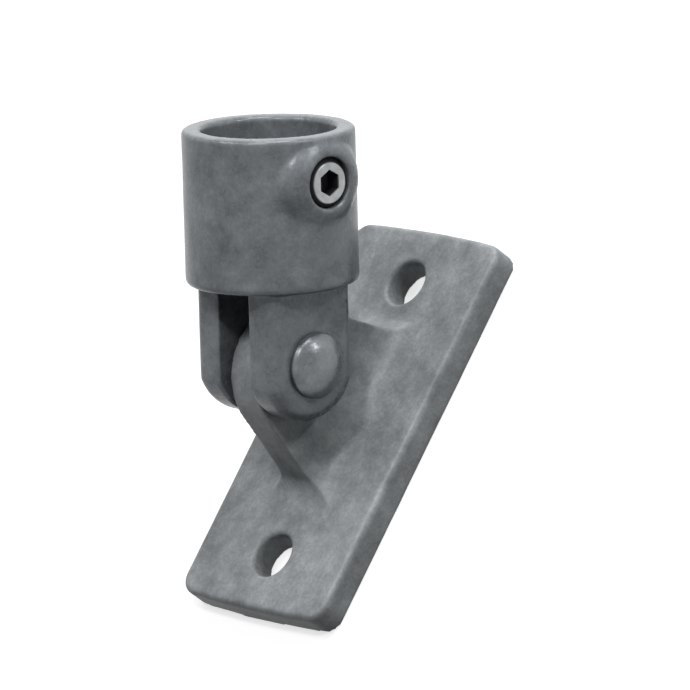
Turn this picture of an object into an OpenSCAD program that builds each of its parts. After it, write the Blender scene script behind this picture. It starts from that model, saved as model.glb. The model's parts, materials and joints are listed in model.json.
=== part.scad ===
// Swivel tube wall bracket. A cast plate fixed to a wall carries a tongue,
// and a forked tube socket swings on a rivet through that tongue. A socket
// screw in the side of the collar clamps the tube.
// The back of the plate lies on Z = 0, X runs along the plate, and Y runs
// along the rivet.

/* [Plate] */
// Length of the plate along the wall
plate_l = 112.5; // [106:0.5:125]
// Width of the plate
plate_w = 56; // [46:0.5:70]
// Thickness of the plate
plate_t = 8; // [6:0.2:9]
// Radius of the plate's four corners
corner_r = 5; // [4:0.5:9]
// How far each short end bulges outward
end_bow = 1; // [0.4:0.2:3]
// Radius along the plate's front edge
edge_r = 1.6; // [1:0.2:3.4]

/* [Fixing holes] */
// Distance between the two fixing holes
hole_pitch = 81; // [76:1:86]
// Diameter of a fixing hole
hole_d = 12; // [8:0.2:13]
// Bevel at the front mouth of a fixing hole
hole_bevel = 0.9; // [0.2:0.1:1.5]

/* [Tongue] */
// Height of the pivot above the wall
pivot_h = 36.4; // [35:0.2:42]
// Place of the pivot along the plate, from its middle
pivot_x = 2.6; // [-4:0.2:4]
// Thickness of the tongue
tongue_t = 10.6; // [8:0.2:13]
// Radius of the tongue's rounded crown
crown_r = 17.2; // [15:0.2:18]
// Height of the crown above the pivot
crown_rise = 9.4; // [8.6:0.2:10.4]
// Length of the tongue where it meets the plate
tongue_l = 48; // [43:1:51]
// Radius of the cast fillet along the two faces of the tongue's foot
foot_r = 8; // [3:0.5:9]
// Radius of the cast fillet at the two ends of the tongue's foot
foot_end_r = 6; // [3:0.5:8]

/* [Fork] */
// Lean of the socket away from square to the wall, in degrees
lean = 53; // [-80:1:84]
// Free space between the tongue and each ear
side_gap = 0.6; // [0.3:0.1:1.2]
// Thickness of an ear
ear_t = 10; // [8:0.5:11]
// Width of an ear
ear_w = 28; // [26:0.5:31]
// How much the radius of an ear's end about the pivot exceeds half its width
ear_round = 1.1; // [0.6:0.1:2.5]
// Radius along an ear's outer edge
ear_edge_r = 3.8; // [1.5:0.1:4.4]

/* [Socket] */
// Outside diameter of the tube that the socket takes
tube_d = 33.7; // [30:0.1:35]
// Free space round the tube
tube_gap = 0.45; // [0.2:0.05:0.5]
// Wall of the collar
collar_wall = 5.2; // [4:0.1:7]
// Depth of the socket
socket_depth = 35.8; // [30:0.2:45]
// Thickness of the floor under the tube
floor_t = 4.8; // [3.5:0.1:8]
// Distance from the pivot to the underside of the collar
collar_rise = 19.8; // [19.6:0.1:24]
// Radius round the collar's lower edge
collar_low_r = 1.8; // [1:0.2:4]
// Radius round the collar's rim
rim_r = 1.2; // [0.6:0.1:1.8]
// Bevel at the mouth of the bore
bore_bevel = 0.8; // [0.3:0.1:1.2]

/* [Rivet] */
// Diameter of the rivet's shank
shank_d = 12; // [9:0.5:13]
// Running clearance round the shank in the tongue
run_gap = 0.06; // [0.02:0.01:0.1]
// Diameter of the rivet's heads
head_d = 17.4; // [16:0.2:19]
// Height of the straight rim of a head
head_rim = 1.2; // [0.6:0.1:2]
// Height of the dome on the set head
head_dome = 3.9; // [2:0.1:5]
// Height of the dome on the closed head
tail_dome = 3.2; // [2:0.1:5]

/* [Clamp screw] */
// Diameter of the screw over its thread
screw_d = 12.9; // [10:0.1:13.2]
// Free space between the screw and its hole
screw_gap = 0.05; // [0.02:0.01:0.1]
// Height of the boss in front of the collar
boss_proud = 1.4; // [1:0.1:5]
// Width of the ring round the screw at the boss's tip
boss_ring = 0.7; // [0.4:0.1:2.5]
// Radius of the boss's rounded flank
boss_round = 8.4; // [7:0.2:9.6]
// Distance from the rim to the screw's axis
screw_drop = 12.2; // [12:0.2:18]
// Depth of the screw's face inside the boss
screw_sunk = 0.4; // [0.2:0.1:1.5]
// Bevel on the inner end of the screw and round its hole
screw_bevel = 0.8; // [0.3:0.1:1]
// Bevel round the screw's face
face_bevel = 1.3; // [0.3:0.1:1.6]
// Size of the hexagon recess across its flats
hex_af = 6; // [5:0.5:7]
// Depth of the hexagon recess
hex_depth = 4.4; // [4.2:0.1:4.6]

/* [Hidden] */
$fn = 96;
// a cut runs this far past the face it opens through
past = 1;
// angles at which a rounded edge is stepped
edge_steps = [0 : 15 : 90];
// turn of the boss's rounded flank, from its tip to its upright foot
boss_turn = [75, 10];
galvanised = [0.52, 0.53, 0.53];
galvanised_dark = [0.45, 0.46, 0.46];
bright_zinc = [0.66, 0.67, 0.67];

// plate ends: one wide arc, with the corners rolled into it and the sides
bow_r = (pow(plate_w / 2, 2) + pow(end_bow, 2)) / (2 * end_bow);
bow_x = plate_l / 2 - bow_r;
corner_y = plate_w / 2 - corner_r;
corner_a = asin(corner_y / (bow_r - corner_r));
corner_x = bow_x + (bow_r - corner_r) * cos(corner_a);

// tongue: its flanks run from the foot to touch the crown
crown_z = pivot_h + crown_rise - crown_r;
foot_reach = norm([tongue_l / 2, crown_z - plate_t]);
flank_a = acos(crown_r / foot_reach) - atan2(crown_z - plate_t, tongue_l / 2);
cove_x = tongue_l / 2 + foot_end_r * (1 - sin(flank_a)) / cos(flank_a);

// fork and socket, measured from the pivot along the tube
slot_half = tongue_t / 2 + side_gap;
ear_out = slot_half + ear_t;
ear_r = ear_w / 2 + ear_round;
bore_r = tube_d / 2 + tube_gap;
collar_r = bore_r + collar_wall;
socket_floor = collar_rise + floor_t;
collar_top = socket_floor + socket_depth;

// clamp screw, measured from the collar's axis
screw_z = collar_top - screw_drop;
screw_hole_r = screw_d / 2 + screw_gap;
boss_tip = collar_r + boss_proud;
boss_tip_r = screw_hole_r + screw_bevel * 0.5 + boss_ring;
screw_face = boss_tip - screw_sunk;
screw_end = bore_r + screw_gap;

// Points of an arc about the origin, from one angle to another.
function arc(r, from, to, steps = 8) =
    [for (k = [0 : steps]) let (a = from + (to - from) * k / steps) r * [cos(a), sin(a)]];
// The same points moved to a centre.
function shift(points, by) = [for (p = points) p + by];
function mirrored(points) = [for (k = [len(points) - 1 : -1 : 0]) [-points[k][0], points[k][1]]];

// Puts a shape on the leaning socket: its pivot at the origin, tube along Z.
module on_socket() {
    translate([pivot_x, 0, pivot_h]) rotate([0, lean, 0]) children();
}

// Outline of the plate, drawn in by the given amount.
module plate_outline(inset) {
    right = concat(
        shift(arc(corner_r - inset, -90, -corner_a), [corner_x, -corner_y]),
        shift(arc(bow_r - inset, -corner_a, corner_a), [bow_x, 0]),
        shift(arc(corner_r - inset, corner_a, 90), [corner_x, corner_y]));
    polygon(concat(right, mirrored([for (p = right) [p[0], -p[1]]])));
}

module plate_blank() {
    hull() for (a = edge_steps)
        linear_extrude(plate_t - edge_r * (1 - sin(a))) plate_outline(edge_r * (1 - cos(a)));
}

// Side view of the tongue: crown, flanks and the fillets at its two ends.
module tongue_side() {
    foot = [cove_x, plate_t + foot_end_r];
    normal = [cos(flank_a), sin(flank_a)];
    flank = [
        [cove_x, plate_t / 2],
        [cove_x, plate_t],
        foot - foot_end_r * normal,
        [0, crown_z] + crown_r * normal];
    difference() {
        union() {
            translate([0, crown_z]) circle(crown_r);
            polygon(concat(flank, mirrored(flank)));
        }
        for (side = [-1, 1]) translate([side * foot[0], foot[1]]) circle(foot_end_r);
    }
}

// End view of the tongue: an upright web with a fillet on each side.
module tongue_end() {
    spread = tongue_t / 2 + foot_r;
    difference() {
        union() {
            translate([-tongue_t / 2, 0]) square([tongue_t, pivot_h + crown_rise + past]);
            translate([-spread, plate_t / 2]) square([2 * spread, plate_t / 2 + foot_r]);
        }
        for (side = [-1, 1]) translate([side * spread, plate_t + foot_r]) circle(foot_r);
    }
}

// The two views meet, so the fillets run round the foot and mitre at its corners.
module tongue() {
    reach = cove_x + past;
    intersection() {
        rotate([90, 0, 0]) linear_extrude(plate_w, center = true) tongue_side();
        rotate([90, 0, 90]) linear_extrude(2 * reach, center = true) tongue_end();
    }
}

module fixing_hole() {
    translate([0, 0, -past]) cylinder(d = hole_d, h = plate_t + foot_r + past);
    translate([0, 0, plate_t - hole_bevel])
        cylinder(d1 = hole_d, d2 = hole_d + 2 * (hole_bevel + past), h = hole_bevel + past);
}

// Wall plate and tongue, cast in one.
module base_plate() {
    color(galvanised) difference() {
        union() {
            plate_blank();
            translate([pivot_x, 0, 0]) tongue();
        }
        for (side = [-1, 1]) translate([side * hole_pitch / 2, 0, 0]) fixing_hole();
        translate([pivot_x, 0, pivot_h]) rotate([90, 0, 0])
            cylinder(d = shank_d + 2 * run_gap, h = tongue_t + 2 * past, center = true);
    }
}

// Side view of an ear: straight sides and an end struck from the pivot.
module ear_outline(inset) {
    half = ear_w / 2 - inset;
    end_r = ear_r - inset;
    turn = acos(half / end_r);
    top = collar_rise + floor_t / 2;
    polygon(concat([[half, top], [-half, top]], arc(end_r, turn - 180, -turn, 16)));
}

// One ear, on the side that -Y points to, with its outer edge well rounded.
module ear() {
    translate([0, -slot_half, 0]) rotate([90, 0, 0]) hull() for (a = edge_steps)
        linear_extrude(ear_t - ear_edge_r * (1 - sin(a))) ear_outline(ear_edge_r * (1 - cos(a)));
}

module collar_blank() {
    rotate_extrude() polygon(concat(
        [[0, collar_rise]],
        shift(arc(collar_low_r, -90, 0), [collar_r - collar_low_r, collar_rise + collar_low_r]),
        shift(arc(rim_r, 0, 90), [collar_r - rim_r, collar_top - rim_r]),
        [[0, collar_top]]));
}

module tube_bore() {
    translate([0, 0, socket_floor]) cylinder(r = bore_r, h = socket_depth + past);
    translate([0, 0, collar_top - bore_bevel])
        cylinder(r1 = bore_r, r2 = bore_r + bore_bevel + past, h = bore_bevel + past);
}

// Boss for the clamp screw: its rounded flank runs from the tip into the collar's wall.
// The boss stays below the rim, and the tube's bore trims its root.
module screw_boss() {
    flank = arc(boss_round, boss_turn[0], boss_turn[1], 6);
    foot_drop = flank[0][1] - flank[6][1];
    foot = boss_tip_r + flank[6][0] - flank[0][0];
    root = bore_r - collar_wall / 2;
    intersection() {
        translate([0, 0, screw_z]) rotate([90, 0, 0]) rotate_extrude() polygon(concat(
            [[0, boss_tip]],
            shift(flank, [boss_tip_r, boss_tip] - flank[0]),
            [[foot + (boss_tip - foot_drop - root) * tan(boss_turn[1]), root], [0, root]]));
        translate([0, 0, socket_floor])
            cylinder(r = boss_tip + past, h = socket_depth - rim_r);
    }
}

module screw_hole() {
    translate([0, 0, screw_z]) rotate([90, 0, 0]) {
        cylinder(r = screw_hole_r, h = boss_tip + past);
        translate([0, 0, boss_tip - screw_bevel]) cylinder(
            r1 = screw_hole_r, r2 = screw_hole_r + (screw_bevel + past) / 2, h = screw_bevel + past);
    }
}

// Collar, clamp boss and the two ears, cast in one.
module socket_fork() {
    color(galvanised_dark) on_socket() difference() {
        union() {
            collar_blank();
            screw_boss();
            ear();
            mirror([0, 1, 0]) ear();
        }
        tube_bore();
        screw_hole();
        rotate([90, 0, 0]) cylinder(d = shank_d, h = 2 * (ear_out + past), center = true);
    }
}

// Half outline of a domed head that stands on z = 0.
function head(dome) = let (
    r = head_d / 2,
    ball = (r * r + dome * dome) / (2 * dome),
    edge = asin((ball - dome) / ball))
    concat([[r, 0]], shift(arc(ball, edge, 90, 12), [0, head_rim + dome - ball]));

// Rivet through both ears and the tongue, with a domed head at each end.
module pivot_rivet() {
    set_head = [for (p = head(head_dome)) [p[0], p[1] + ear_out]];
    closed_head = [for (p = head(tail_dome)) [p[0], -p[1] - ear_out]];
    n = len(closed_head);
    color(bright_zinc) on_socket() rotate([90, 0, 0]) rotate_extrude() polygon(concat(
        [for (k = [n - 1 : -1 : 0]) closed_head[k]],
        [[shank_d / 2, -ear_out], [shank_d / 2, ear_out]],
        set_head));
}

// Headless clamp screw with a hexagon recess and a bevelled end.
module set_screw() {
    r = screw_d / 2;
    color(bright_zinc) on_socket() translate([0, 0, screw_z]) rotate([90, 0, 0]) difference() {
        rotate_extrude() polygon([
            [0, screw_end], [r - screw_bevel, screw_end], [r, screw_end + screw_bevel],
            [r, screw_face - face_bevel], [r - face_bevel, screw_face], [0, screw_face]]);
        translate([0, 0, screw_face - hex_depth]) rotate([0, 0, 90])
            cylinder(d = hex_af / cos(30), h = hex_depth + past, $fn = 6);
    }
}

base_plate();
socket_fork();
pivot_rivet();
set_screw();
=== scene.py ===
import json
import math

import bpy
from mathutils import Matrix, Vector


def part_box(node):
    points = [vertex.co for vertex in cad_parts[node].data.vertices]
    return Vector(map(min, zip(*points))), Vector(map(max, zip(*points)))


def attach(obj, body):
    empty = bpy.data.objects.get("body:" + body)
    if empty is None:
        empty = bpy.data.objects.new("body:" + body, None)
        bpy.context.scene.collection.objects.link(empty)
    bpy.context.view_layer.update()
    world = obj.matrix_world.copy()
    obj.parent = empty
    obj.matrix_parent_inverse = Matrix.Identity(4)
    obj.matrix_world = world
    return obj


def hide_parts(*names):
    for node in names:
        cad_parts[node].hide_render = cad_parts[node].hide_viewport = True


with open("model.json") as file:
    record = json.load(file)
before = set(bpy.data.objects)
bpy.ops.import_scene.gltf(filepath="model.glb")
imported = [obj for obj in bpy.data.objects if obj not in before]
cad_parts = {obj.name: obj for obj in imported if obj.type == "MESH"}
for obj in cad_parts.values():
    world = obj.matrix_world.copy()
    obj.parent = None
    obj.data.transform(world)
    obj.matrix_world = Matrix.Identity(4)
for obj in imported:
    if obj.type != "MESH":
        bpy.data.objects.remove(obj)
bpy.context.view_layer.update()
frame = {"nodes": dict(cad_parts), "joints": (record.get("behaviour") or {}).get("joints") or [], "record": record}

bl_info = {
    "name": "Swivel Tube Bracket",
    "version": (1, 0, 0),
    "blender": (4, 5, 0),
    "location": "View3D > Sidebar > Bracket",
    "description": "Finishes a galvanised swivel bracket for tube: "
                   "castings, rivet, clamp screw and studio",
    "category": "Add Mesh",
}

MM = 0.001
HINGE = next(joint for joint in frame["joints"] if joint["name"] == "swivel")
PIVOT = Vector(HINGE["pos_m"])
SOCKET = next(mount for mount in frame["record"]["mounts"] if mount["name"] == "tube_socket")
TUBE_AXIS = Vector(SOCKET["axis"]).normalized()

# Points of a mesh closer than this are one point
WELD = 0.001 * MM
# Places of the colour sockets on a mix node: two inputs and the output
MIX_A, MIX_B, MIX_OUT = 6, 7, 2
# Stretch of a noise texture's output that holds nearly all of its values
NOISE_STRETCH = {"From Min": 0.3, "From Max": 0.7}
# Size of each pattern in the zinc, in mm, and the levels by which its ends scale the tone
CLOUD_MM, CLOUD_LEVELS = 9, ((0.3, 0.72), (0.7, 1.24))
CRYSTAL_MM, CRYSTAL_LEVELS = 2.6, ((0.1, 1.05), (0.75, 0.93))
SPECK_MM, SPECK_LEVELS = 0.9, ((0.35, 0.89), (0.65, 1.11))
TINT_MM = 14
# How far the zinc's dullness strays to either side of its mean
DULLNESS_SPREAD = 0.07
# Haze on the screw's plating: its size in mm, its levels and its least and most dullness
HAZE_MM, HAZE_LEVELS, HAZE_DULLNESS = 2.2, ((0.3, 0.8), (0.7, 1.1)), (0.28, 0.42)
# Painted shade on the screw, black in the recess and round its face: where it sets in below
# the face and is full, how far it reaches past the recess, and the width over which it sets
# in round the face
PAINTED_SHADE_START, PAINTED_SHADE_FULL = 0.2 * MM, 0.7 * MM
PAINTED_SHADE_PAST, PAINTED_SHADE_EDGE = 0.2 * MM, 0.3 * MM
# Floor: the grey that lights the object from below, and the paper and glow that are seen
FLOOR_BOUNCE, FLOOR_PAPER, FLOOR_GLOW = 0.04, 0.5, 0.7
# Width of the floor in metres
FLOOR_SIZE = 6
# Size of the swells in a casting's skin and of the dents in the rivet's heads, and their depth
SWELL_SIZE = 11 * MM
DENT_SIZE, DENT_DEPTH = 5 * MM, 0.14 * MM
# Share of a rivet head's rim that stays straight below its softened edge
STRAIGHT_RIM = 0.8
# Width of the camera's sensor, which the focal length goes with
SENSOR_MM = 36
# Metres from the aim to every lamp
LAMP_DISTANCE = 1.6
# Direction of each lamp from the aim, as shares of the camera's right, up and back, then its
# width in metres and its power in watts
LAMPS = {
    "top": ((0.1, 0.9, 0.4), 0.7, 14),
    "key": ((-0.26, 0.52, 0.81), 0.15, 6),
    "right": ((0.6, 0.57, 0.53), 0.25, 4.5),
    "left": ((-0.68, 0.6, 0.42), 0.6, 8),
    "rim": ((-0.1, 0.95, -0.3), 1.4, 8),
}
# How the world's light on the object grows, from low in the picture to its top
FILL_STRETCH = {"From Min": -0.3, "From Max": 1, "To Min": 0.02, "To Max": 0.25}
WHITE = [1, 1, 1, 1]


class BRACKET_PG_castings(bpy.types.PropertyGroup):
    grid: bpy.props.FloatProperty(
        name="Skin grid", description="Mesh size of a cast skin",
        default=0.52 * MM, min=0.3 * MM, max=2 * MM, unit="LENGTH", precision=5)
    melt: bpy.props.IntProperty(
        name="Edge melt", description="Smoothing passes that round the cast edges",
        default=4, min=0, max=30)
    wobble: bpy.props.FloatProperty(
        name="Wobble", description="Depth of the shallow unevenness of a sand casting",
        default=0.2 * MM, min=0.0, max=1 * MM, unit="LENGTH", precision=5)
    plate_tone: bpy.props.StringProperty(
        name="Plate tone", description="sRGB hex of the zinc on the wall plate", default="#94989a")
    fork_tone: bpy.props.StringProperty(
        name="Fork tone", description="sRGB hex of the zinc on the fork", default="#7b8184")


class BRACKET_PG_fasteners(bpy.types.PropertyGroup):
    shank_radius: bpy.props.FloatProperty(
        name="Shank radius", description="Radius of the rivet's shank",
        default=6 * MM, unit="LENGTH", precision=5)
    half_grip: bpy.props.FloatProperty(
        name="Half grip", description="From the tongue's middle to the outer face of an ear",
        default=15.9 * MM, unit="LENGTH", precision=5)
    head_rim: bpy.props.FloatProperty(
        name="Head rim", description="Straight height of a rivet head under its dome",
        default=1.2 * MM, unit="LENGTH", precision=5)
    face_bevel: bpy.props.FloatProperty(
        name="Face bevel", description="Bevel round the clamp screw's face",
        default=1.3 * MM, unit="LENGTH", precision=5)
    end_bevel: bpy.props.FloatProperty(
        name="End bevel", description="Bevel round the clamp screw's inner end",
        default=0.8 * MM, unit="LENGTH", precision=5)
    thread_pitch: bpy.props.FloatProperty(
        name="Thread pitch", description="Pitch of the clamp screw's pipe thread",
        default=1.34 * MM, unit="LENGTH", precision=5)
    thread_depth: bpy.props.FloatProperty(
        name="Thread depth", description="Depth of the clamp screw's thread",
        default=0.7 * MM, unit="LENGTH", precision=5)
    hex_flats: bpy.props.FloatProperty(
        name="Hexagon", description="Width of the recess across its flats",
        default=6 * MM, unit="LENGTH", precision=5)
    hex_depth: bpy.props.FloatProperty(
        name="Recess depth", description="Depth of the hexagon recess",
        default=4.4 * MM, unit="LENGTH", precision=5)
    head_tone: bpy.props.StringProperty(
        name="Rivet tone", description="sRGB hex of the zinc on the rivet", default="#777d81")
    screw_tone: bpy.props.StringProperty(
        name="Screw tone", description="sRGB hex of the clamp screw's plating", default="#a6a9aa")
    # This tone is painted shade: black for the hexagon recess and the thread round the face
    painted_shade_tone: bpy.props.StringProperty(
        name="Painted shade tone", description="sRGB hex of the painted shade in the recess and the thread",
        default="#17191a")


class BRACKET_PG_studio(bpy.types.PropertyGroup):
    azimuth: bpy.props.FloatProperty(
        name="Azimuth", description="Turn of the camera about the wall's normal",
        default=math.radians(-17.7), subtype="ANGLE")
    elevation: bpy.props.FloatProperty(
        name="Elevation", description="Rise of the camera above the plate",
        default=math.radians(39.16), subtype="ANGLE")
    roll: bpy.props.FloatProperty(
        name="Roll", description="Tilt of the camera that sets the tube's axis upright",
        default=math.radians(-52.45), subtype="ANGLE")
    distance: bpy.props.FloatProperty(
        name="Distance", description="Camera to the point it aims at",
        default=1884.2 * MM, unit="LENGTH")
    lens: bpy.props.FloatProperty(
        name="Lens", description="Focal length in mm on a 36 mm sensor", default=376.3, min=10)
    aim: bpy.props.FloatVectorProperty(
        name="Aim", description="Point at the middle of the picture",
        default=(18.34 * MM, 4.91 * MM, 12.71 * MM), subtype="TRANSLATION", precision=5)
    floor_tone: bpy.props.StringProperty(
        name="Floor tone", description="sRGB hex of the studio floor", default="#ffffff")


def linear(hex_colour):
    """Turns an sRGB hex colour into linear red, green, blue and alpha."""
    channels = [int(hex_colour[k:k + 2], 16) / 255 for k in (1, 3, 5)]
    return [c / 12.92 if c <= 0.04045 else ((c + 0.055) / 1.055) ** 2.4 for c in channels] + [1]


def add(tree, kind, values=None, links=None, **settings):
    """Adds a node, sets its properties and unlinked sockets, and links the rest."""
    node = tree.nodes.new(kind)
    for name, value in settings.items():
        setattr(node, name, value)
    for socket, value in (values or {}).items():
        node.inputs[socket].default_value = value
    for socket, source in (links or {}).items():
        tree.links.new(source, node.inputs[socket])
    return node


def per_metre(size_mm):
    """Texture scale at which one feature measures size_mm."""
    return 1 / (size_mm * MM)


def new_material(name):
    """Makes an empty material, and gives it back with its node tree."""
    material = bpy.data.materials.new(name)
    material.use_nodes = True
    material.node_tree.nodes.clear()
    return material, material.node_tree


def ramp(node, stops):
    """Sets a colour ramp's stops from (place, grey level) pairs."""
    elements = node.color_ramp.elements
    while len(elements) < len(stops):
        elements.new(0.5)
    for element, (place, level) in zip(elements, stops):
        element.position = place
        element.color = (level, level, level, 1)


def galvanised_casting(name, tone, warm, roughness, metal, sheen):
    """Hot-dip galvanised malleable iron: dull zinc over a sand-cast skin.

    The zinc gives soft grey mottling with faint crystals, and the sand gives a fine grain.
    """
    material, tree = new_material(name)
    place = add(tree, "ShaderNodeTexCoord").outputs["Object"]
    clouds = add(tree, "ShaderNodeTexNoise",
                 {"Scale": per_metre(CLOUD_MM), "Detail": 4, "Roughness": 0.62}, {"Vector": place})
    crystals = add(tree, "ShaderNodeTexVoronoi",
                   {"Scale": per_metre(CRYSTAL_MM), "Smoothness": 0.5}, {"Vector": place},
                   feature="SMOOTH_F1")
    specks = add(tree, "ShaderNodeTexNoise",
                 {"Scale": per_metre(SPECK_MM), "Detail": 3, "Roughness": 0.7}, {"Vector": place})
    tint = add(tree, "ShaderNodeTexNoise", {"Scale": per_metre(TINT_MM), "Detail": 2},
               {"Vector": place})

    colour = add(tree, "ShaderNodeMix", {MIX_A: linear(tone), MIX_B: linear(warm)},
                 {"Factor": tint.outputs["Fac"]}, data_type="RGBA").outputs[MIX_OUT]
    for pattern, stops in ((clouds.outputs["Fac"], CLOUD_LEVELS),
                           (crystals.outputs["Distance"], CRYSTAL_LEVELS),
                           (specks.outputs["Fac"], SPECK_LEVELS)):
        level = add(tree, "ShaderNodeValToRGB", links={"Fac": pattern})
        ramp(level, stops)
        colour = add(tree, "ShaderNodeMix", {"Factor": 1.0},
                     {MIX_A: colour, MIX_B: level.outputs["Color"]},
                     data_type="RGBA", blend_type="MULTIPLY").outputs[MIX_OUT]

    dullness = add(tree, "ShaderNodeMapRange",
                   {**NOISE_STRETCH, "To Min": roughness - DULLNESS_SPREAD,
                    "To Max": roughness + DULLNESS_SPREAD},
                   {"Value": clouds.outputs["Fac"]})
    grain = add(tree, "ShaderNodeBump", {"Strength": 0.35, "Distance": 0.12 * MM},
                {"Height": specks.outputs["Fac"]})
    swells = add(tree, "ShaderNodeBump", {"Strength": 0.5, "Distance": 0.25 * MM},
                 {"Height": clouds.outputs["Fac"], "Normal": grain.outputs["Normal"]})
    shader = add(tree, "ShaderNodeBsdfPrincipled", {"Metallic": metal, "Specular IOR Level": sheen},
                 {"Base Color": colour, "Roughness": dullness.outputs["Result"],
                  "Normal": swells.outputs["Normal"]})
    add(tree, "ShaderNodeOutputMaterial", links={"Surface": shader.outputs["BSDF"]})
    return material


def plated_screw(name, tone, painted_shade, axis_point, face, hex_reach, face_reach):
    """Electroplated zinc on turned steel, with painted black shade in the recess and in the thread.

    The painted shade draws the black hexagon and the dark ring round the bright face.
    """
    material, tree = new_material(name)
    place = add(tree, "ShaderNodeTexCoord").outputs["Object"]
    off_axis = add(tree, "ShaderNodeVectorMath", {1: axis_point}, {0: place}, operation="SUBTRACT")
    flat = add(tree, "ShaderNodeVectorMath", {1: (1, 0, 1)}, {0: off_axis.outputs["Vector"]},
               operation="MULTIPLY")
    reach = add(tree, "ShaderNodeVectorMath", links={0: flat.outputs["Vector"]},
                operation="LENGTH").outputs["Value"]
    # Painted shade: the bevel and thread round the face, and the hexagon recess below the face
    outside = add(tree, "ShaderNodeMapRange",
                  {"From Min": face_reach, "From Max": face_reach + PAINTED_SHADE_EDGE}, {"Value": reach})
    within = add(tree, "ShaderNodeMath", {1: hex_reach}, {0: reach}, operation="LESS_THAN")
    depth = add(tree, "ShaderNodeSeparateXYZ", links={"Vector": place}).outputs["Y"]
    sunk = add(tree, "ShaderNodeMapRange",
               {"From Min": face + PAINTED_SHADE_START, "From Max": face + PAINTED_SHADE_FULL}, {"Value": depth})
    recess = add(tree, "ShaderNodeMath", links={0: within.outputs[0], 1: sunk.outputs["Result"]},
                 operation="MULTIPLY")
    painted_shade_mask = add(tree, "ShaderNodeMath", links={0: recess.outputs[0], 1: outside.outputs["Result"]},
                 operation="MAXIMUM").outputs[0]

    haze = add(tree, "ShaderNodeTexNoise", {"Scale": per_metre(HAZE_MM), "Detail": 3},
               {"Vector": place})
    level = add(tree, "ShaderNodeValToRGB", links={"Fac": haze.outputs["Fac"]})
    ramp(level, HAZE_LEVELS)
    colour = add(tree, "ShaderNodeMix", {"Factor": 1.0, MIX_A: linear(tone)},
                 {MIX_B: level.outputs["Color"]},
                 data_type="RGBA", blend_type="MULTIPLY").outputs[MIX_OUT]
    dullness = add(tree, "ShaderNodeMapRange",
                   {**NOISE_STRETCH, "To Min": HAZE_DULLNESS[0], "To Max": HAZE_DULLNESS[1]},
                   {"Value": haze.outputs["Fac"]})
    plating_bsdf = add(tree, "ShaderNodeBsdfPrincipled", {"Metallic": 0.6},
                {"Base Color": colour, "Roughness": dullness.outputs["Result"]})
    # Black surface that paints the shade of the recess and of the ring round the face
    black = add(tree, "ShaderNodeBsdfPrincipled",
                {"Base Color": linear(painted_shade), "Roughness": 0.6, "Specular IOR Level": 0.2})
    shader = add(tree, "ShaderNodeMixShader",
                 links={0: painted_shade_mask, 1: plating_bsdf.outputs["BSDF"], 2: black.outputs["BSDF"]})
    add(tree, "ShaderNodeOutputMaterial", links={"Surface": shader.outputs["Shader"]})
    return material


def white_floor(name, tone):
    """Seamless studio floor of white paper.

    It looks white, in the metal's reflections too, with a faint shadow under the object.
    """
    material, tree = new_material(name)
    path = add(tree, "ShaderNodeLightPath")
    seen = add(tree, "ShaderNodeMath", operation="MAXIMUM",
               links={0: path.outputs["Is Camera Ray"], 1: path.outputs["Is Glossy Ray"]})
    bounce = add(tree, "ShaderNodeBsdfDiffuse", {"Color": [FLOOR_BOUNCE] * 3 + [1]})
    paper = add(tree, "ShaderNodeBsdfDiffuse", {"Color": [FLOOR_PAPER] * 3 + [1]})
    glow = add(tree, "ShaderNodeEmission", {"Color": linear(tone), "Strength": FLOOR_GLOW})
    lit = add(tree, "ShaderNodeAddShader",
              links={0: paper.outputs["BSDF"], 1: glow.outputs["Emission"]})
    mix = add(tree, "ShaderNodeMixShader",
              links={0: seen.outputs[0], 1: bounce.outputs["BSDF"], 2: lit.outputs["Shader"]})
    add(tree, "ShaderNodeOutputMaterial", links={"Surface": mix.outputs["Shader"]})
    return material


def deselect():
    """Leaves edit mode with nothing selected."""
    if bpy.context.mode != "OBJECT":
        bpy.ops.object.mode_set(mode="OBJECT")
    bpy.ops.object.select_all(action="DESELECT")


def activate(piece):
    """Makes a piece the only one selected, and the active one."""
    deselect()
    piece.select_set(True)
    bpy.context.view_layer.objects.active = piece


def modify(piece, kind, **settings):
    """Adds a modifier, sets it and applies it."""
    activate(piece)
    modifier = piece.modifiers.new(kind.title(), kind)
    for name, value in settings.items():
        setattr(modifier, name, value)
    bpy.ops.object.modifier_apply(modifier=modifier.name)


def dress(piece, material, body, node):
    """Gives a finished piece its material, and stands it in for its CAD node on its body."""
    piece.data.materials.clear()
    piece.data.materials.append(material)
    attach(piece, body)
    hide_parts(node)


def cast_skin(node, name, sizes):
    """Copies a CAD casting and melts its edges as sand moulding and the zinc bath do."""
    piece = bpy.data.objects.new(name, frame["nodes"][node].data.copy())
    bpy.context.scene.collection.objects.link(piece)
    activate(piece)
    bpy.ops.object.mode_set(mode="EDIT")
    bpy.ops.mesh.select_all(action="SELECT")
    bpy.ops.mesh.remove_doubles(threshold=WELD)
    bpy.ops.object.mode_set(mode="OBJECT")
    modify(piece, "REMESH", mode="VOXEL", voxel_size=sizes.grid)
    modify(piece, "SMOOTH", factor=0.5, iterations=sizes.melt)
    uneven = bpy.data.textures.new(name + "_swell", "CLOUDS")
    uneven.noise_scale = SWELL_SIZE
    uneven.noise_depth = 2
    modify(piece, "DISPLACE", texture=uneven, texture_coords="LOCAL",
           strength=sizes.wobble, mid_level=1.0)
    bpy.ops.object.shade_smooth()
    return piece


class BRACKET_OT_base_plate(bpy.types.Operator):
    """Casts the wall plate with its tongue"""
    bl_idname = "bracket.base_plate"
    bl_label = "Wall plate"

    def execute(self, context):
        sizes = context.scene.bracket_castings
        piece = cast_skin("base_plate", "cast_plate", sizes)
        zinc = galvanised_casting("galvanised_iron_plate", sizes.plate_tone, warm="#94989a",
                                  roughness=0.42, metal=0.1, sheen=0.05)
        dress(piece, zinc, "base", "base_plate")
        return {"FINISHED"}


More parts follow.
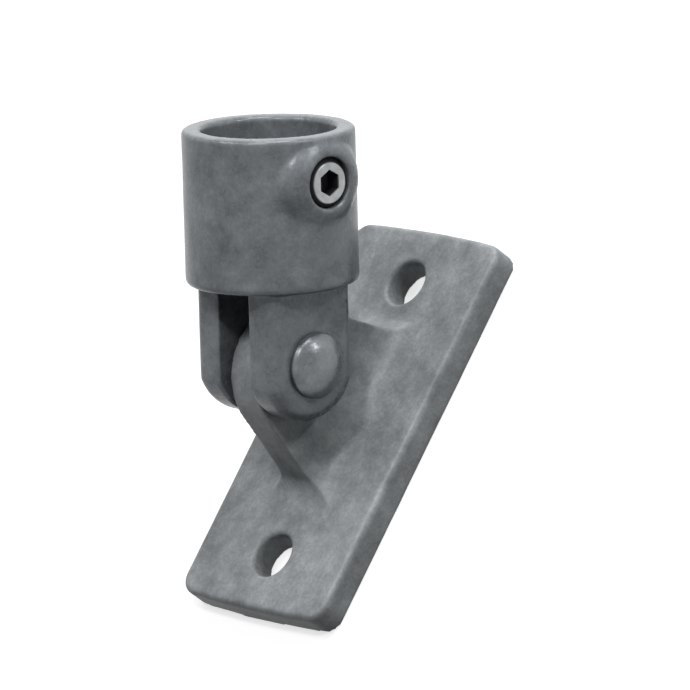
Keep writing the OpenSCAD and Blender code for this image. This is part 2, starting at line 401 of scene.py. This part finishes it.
class BRACKET_OT_socket_fork(bpy.types.Operator):
    """Casts the collar with its boss and ears"""
    bl_idname = "bracket.socket_fork"
    bl_label = "Socket fork"

    def execute(self, context):
        sizes = context.scene.bracket_castings
        piece = cast_skin("socket_fork", "cast_fork", sizes)
        zinc = galvanised_casting("galvanised_iron_fork", sizes.fork_tone, warm="#7e8286",
                                  roughness=0.3, metal=0.18, sheen=0.15)
        dress(piece, zinc, "fork", "socket_fork")
        return {"FINISHED"}


def spin_profile(name, points):
    """Spins (radius, reach) points round the Y axis through the origin into a closed solid."""
    mesh = bpy.data.meshes.new(name)
    mesh.from_pydata([(radius, reach, 0) for radius, reach in points],
                     [(k, k + 1) for k in range(len(points) - 1)], [])
    piece = bpy.data.objects.new(name, mesh)
    bpy.context.scene.collection.objects.link(piece)
    activate(piece)
    bpy.ops.object.mode_set(mode="EDIT")
    bpy.ops.mesh.select_all(action="SELECT")
    bpy.ops.mesh.spin(steps=96, angle=2 * math.pi, center=(0, 0, 0), axis=(0, 1, 0))
    bpy.ops.mesh.select_all(action="SELECT")
    bpy.ops.mesh.remove_doubles(threshold=WELD)
    bpy.ops.mesh.normals_make_consistent(inside=False)
    bpy.ops.object.mode_set(mode="OBJECT")
    return piece


def dome_points(radius, rim, dome, steps=14):
    """Half outline of a rivet head from its foot to its top, as (radius, height)."""
    ball = (radius ** 2 + dome ** 2) / (2 * dome)
    start = math.asin((ball - dome) / ball)
    points = [(radius, 0), (radius, rim * STRAIGHT_RIM)]
    for k in range(1, steps + 1):
        turn = start + (math.pi / 2 - start) * k / steps
        points.append((ball * math.cos(turn), rim + dome - ball + ball * math.sin(turn)))
    points[-1] = (0, rim + dome)
    return points


class BRACKET_OT_rivet(bpy.types.Operator):
    """Heads the rivet that the fork swings on"""
    bl_idname = "bracket.rivet"
    bl_label = "Pivot rivet"

    def execute(self, context):
        sizes = context.scene.bracket_fasteners
        low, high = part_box("pivot_rivet")
        radius, rim, grip = (high.x - low.x) / 2, sizes.head_rim, sizes.half_grip
        near = [(r, -grip - h) for r, h in dome_points(radius, rim, -low.y - grip - rim)]
        far = [(r, grip + h) for r, h in dome_points(radius, rim, high.y - grip - rim)]
        profile = near[::-1] + [(sizes.shank_radius, -grip), (sizes.shank_radius, grip)] + far
        piece = spin_profile("rivet", profile)
        piece.data.transform(Matrix.Translation(PIVOT))
        modify(piece, "BEVEL", width=0.35 * MM, segments=3, angle_limit=math.radians(40))
        dents = bpy.data.textures.new("rivet_dents", "CLOUDS")
        dents.noise_scale = DENT_SIZE
        modify(piece, "DISPLACE", texture=dents, texture_coords="LOCAL",
               strength=DENT_DEPTH, mid_level=1.0)
        bpy.ops.object.shade_smooth_by_angle(angle=math.radians(35))
        zinc = galvanised_casting("galvanised_steel_rivet", sizes.head_tone, warm="#787c7e",
                                  roughness=0.3, metal=0.5, sheen=0.3)
        dress(piece, zinc, "fork", "pivot_rivet")
        return {"FINISHED"}


def screw_points(sizes, radius, length):
    """Half outline of the clamp screw from its inner end to its face, as (radius, height).

    The thread is drawn as rings, which look the same as a helix at this pitch.
    """
    crest, last = sizes.end_bevel, length - sizes.face_bevel
    points = [(0, 0), (radius - sizes.end_bevel, 0), (radius, crest)]
    for k in range(round((last - crest) / sizes.thread_pitch)):
        points.append((radius - sizes.thread_depth, crest + 0.5 * sizes.thread_pitch))
        crest = min(crest + sizes.thread_pitch, last)
        points.append((radius, crest))
    return points + [(radius, last), (radius - sizes.face_bevel, length), (0, length)]


def cut(piece, tool):
    """Cuts a piece with a tool, and throws the tool away."""
    modify(piece, "BOOLEAN", object=tool, operation="DIFFERENCE", solver="EXACT")
    bpy.data.objects.remove(tool)


class BRACKET_OT_clamp_screw(bpy.types.Operator):
    """Turns the clamp screw with its thread and hexagon recess"""
    bl_idname = "bracket.clamp_screw"
    bl_label = "Clamp screw"

    def execute(self, context):
        sizes = context.scene.bracket_fasteners
        low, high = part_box("set_screw")
        radius, length = (high.x - low.x) / 2, high.y - low.y
        hex_reach = sizes.hex_flats / math.sqrt(3)
        piece = spin_profile("clamp_screw", screw_points(sizes, radius, length))
        # the screw stands up along Z until its recess is cut
        piece.data.transform(Matrix.Rotation(math.pi / 2, 4, "X"))
        deselect()
        bpy.ops.mesh.primitive_cylinder_add(
            vertices=6, radius=hex_reach, depth=2 * sizes.hex_depth, location=(0, 0, length))
        cut(piece, context.object)
        modify(piece, "BEVEL", width=0.15 * MM, segments=2, angle_limit=math.radians(50))
        activate(piece)
        bpy.ops.object.shade_smooth_by_angle(angle=math.radians(30))
        # its face looks along -Y, and two corners of the hexagon lie along the tube
        out = Vector((0, -1, 0))
        turn = Matrix((TUBE_AXIS.cross(out), TUBE_AXIS, out)).transposed().to_4x4()
        middle = Vector(((low.x + high.x) / 2, high.y, (low.z + high.z) / 2))
        piece.data.transform(Matrix.Translation(middle) @ turn)
        # The screw's material paints shade black into its recess and round its face
        zinc = plated_screw("zinc_plated_steel", sizes.screw_tone, sizes.painted_shade_tone, middle,
                            face=low.y, hex_reach=hex_reach + PAINTED_SHADE_PAST,
                            face_reach=radius - sizes.face_bevel)
        dress(piece, zinc, "clamp", "set_screw")
        return {"FINISHED"}


def camera_axes(studio):
    """Right, up and back directions of the camera, from its azimuth, elevation and roll."""
    azimuth, elevation, roll = studio.azimuth, studio.elevation, studio.roll
    back = Vector((math.sin(azimuth) * math.cos(elevation),
                   -math.cos(azimuth) * math.cos(elevation), math.sin(elevation)))
    level_up = (Vector((0, 0, 1)) - back * back.z).normalized()
    level_right = level_up.cross(back)
    right = math.cos(roll) * level_right + math.sin(roll) * level_up
    up = math.cos(roll) * level_up - math.sin(roll) * level_right
    return right, up, back


def add_softbox(name, towards, size, power, aim):
    """Hangs a round softbox in a direction from the aim, and turns it to face the aim."""
    light = bpy.data.lights.new(name, "AREA")
    light.shape = "DISK"
    light.size = size
    light.energy = power
    lamp = bpy.data.objects.new(name, light)
    bpy.context.scene.collection.objects.link(lamp)
    lamp.location = aim + towards.normalized() * LAMP_DISTANCE
    lamp.rotation_euler = towards.to_track_quat("Z", "Y").to_euler()


class BRACKET_OT_studio(bpy.types.Operator):
    """Sets the floor, the lights and the camera"""
    bl_idname = "bracket.studio"
    bl_label = "Studio"

    def execute(self, context):
        studio = context.scene.bracket_studio
        right, up, back = camera_axes(studio)
        aim = Vector(studio.aim)

        camera = bpy.data.cameras.new("camera")
        camera.lens = studio.lens
        camera.sensor_width = SENSOR_MM
        camera.clip_start = 0.05
        camera.clip_end = 50
        eye = bpy.data.objects.new("camera", camera)
        context.scene.collection.objects.link(eye)
        turn = Matrix((right, up, back)).transposed().to_4x4()
        eye.matrix_world = Matrix.Translation(aim + back * studio.distance) @ turn
        context.scene.camera = eye

        deselect()
        bpy.ops.mesh.primitive_plane_add(size=FLOOR_SIZE, location=(0, 0, 0))
        floor = context.object
        floor.name = "floor"
        floor.data.materials.append(white_floor("studio_paper", studio.floor_tone))

        for name, (way, size, power) in LAMPS.items():
            towards = right * way[0] + up * way[1] + back * way[2]
            add_softbox(name, towards, size, power, aim)

        world = bpy.data.worlds.new("studio_world")
        world.use_nodes = True
        tree = world.node_tree
        tree.nodes.clear()
        path = add(tree, "ShaderNodeLightPath")
        seen = add(tree, "ShaderNodeMath", operation="MAXIMUM",
                   links={0: path.outputs["Is Camera Ray"], 1: path.outputs["Is Glossy Ray"]})
        direction = add(tree, "ShaderNodeTexCoord").outputs["Generated"]
        rise = add(tree, "ShaderNodeVectorMath", {1: up}, {0: direction}, operation="DOT_PRODUCT")
        level = add(tree, "ShaderNodeMapRange", FILL_STRETCH, {"Value": rise.outputs["Value"]})
        fill = add(tree, "ShaderNodeBackground", {"Color": WHITE},
                   {"Strength": level.outputs["Result"]})
        white = add(tree, "ShaderNodeBackground", {"Color": WHITE, "Strength": 1.0})
        mix = add(tree, "ShaderNodeMixShader",
                  links={0: seen.outputs[0], 1: fill.outputs["Background"],
                         2: white.outputs["Background"]})
        add(tree, "ShaderNodeOutputWorld", links={"Surface": mix.outputs["Shader"]})
        context.scene.world = world
        context.scene.view_settings.view_transform = "Standard"
        return {"FINISHED"}


class BRACKET_PT_panel(bpy.types.Panel):
    """Lists the pieces in the sidebar"""
    bl_idname = "BRACKET_PT_panel"
    bl_label = "Swivel bracket"
    bl_space_type = "VIEW_3D"
    bl_region_type = "UI"
    bl_category = "Bracket"

    def draw(self, context):
        for group in (getattr(context.scene, name) for name in GROUPS):
            box = self.layout.box()
            for name in group.bl_rna.properties.keys():
                if name not in ("rna_type", "name"):
                    box.prop(group, name)
        for operator in OPERATORS:
            self.layout.operator(operator.bl_idname)


OPERATORS = (BRACKET_OT_studio, BRACKET_OT_base_plate, BRACKET_OT_socket_fork,
             BRACKET_OT_rivet, BRACKET_OT_clamp_screw)
GROUPS = {"bracket_castings": BRACKET_PG_castings, "bracket_fasteners": BRACKET_PG_fasteners,
          "bracket_studio": BRACKET_PG_studio}


def register():
    for kind in (*GROUPS.values(), *OPERATORS, BRACKET_PT_panel):
        bpy.utils.register_class(kind)
    for name, kind in GROUPS.items():
        setattr(bpy.types.Scene, name, bpy.props.PointerProperty(type=kind))


def unregister():
    for name in GROUPS:
        delattr(bpy.types.Scene, name)
    for kind in reversed((*GROUPS.values(), *OPERATORS, BRACKET_PT_panel)):
        bpy.utils.unregister_class(kind)


def main():
    register()
    bpy.ops.bracket.studio()
    bpy.ops.bracket.base_plate()
    bpy.ops.bracket.socket_fork()
    bpy.ops.bracket.rivet()
    bpy.ops.bracket.clamp_screw()


if __name__ == "__main__":
    main()
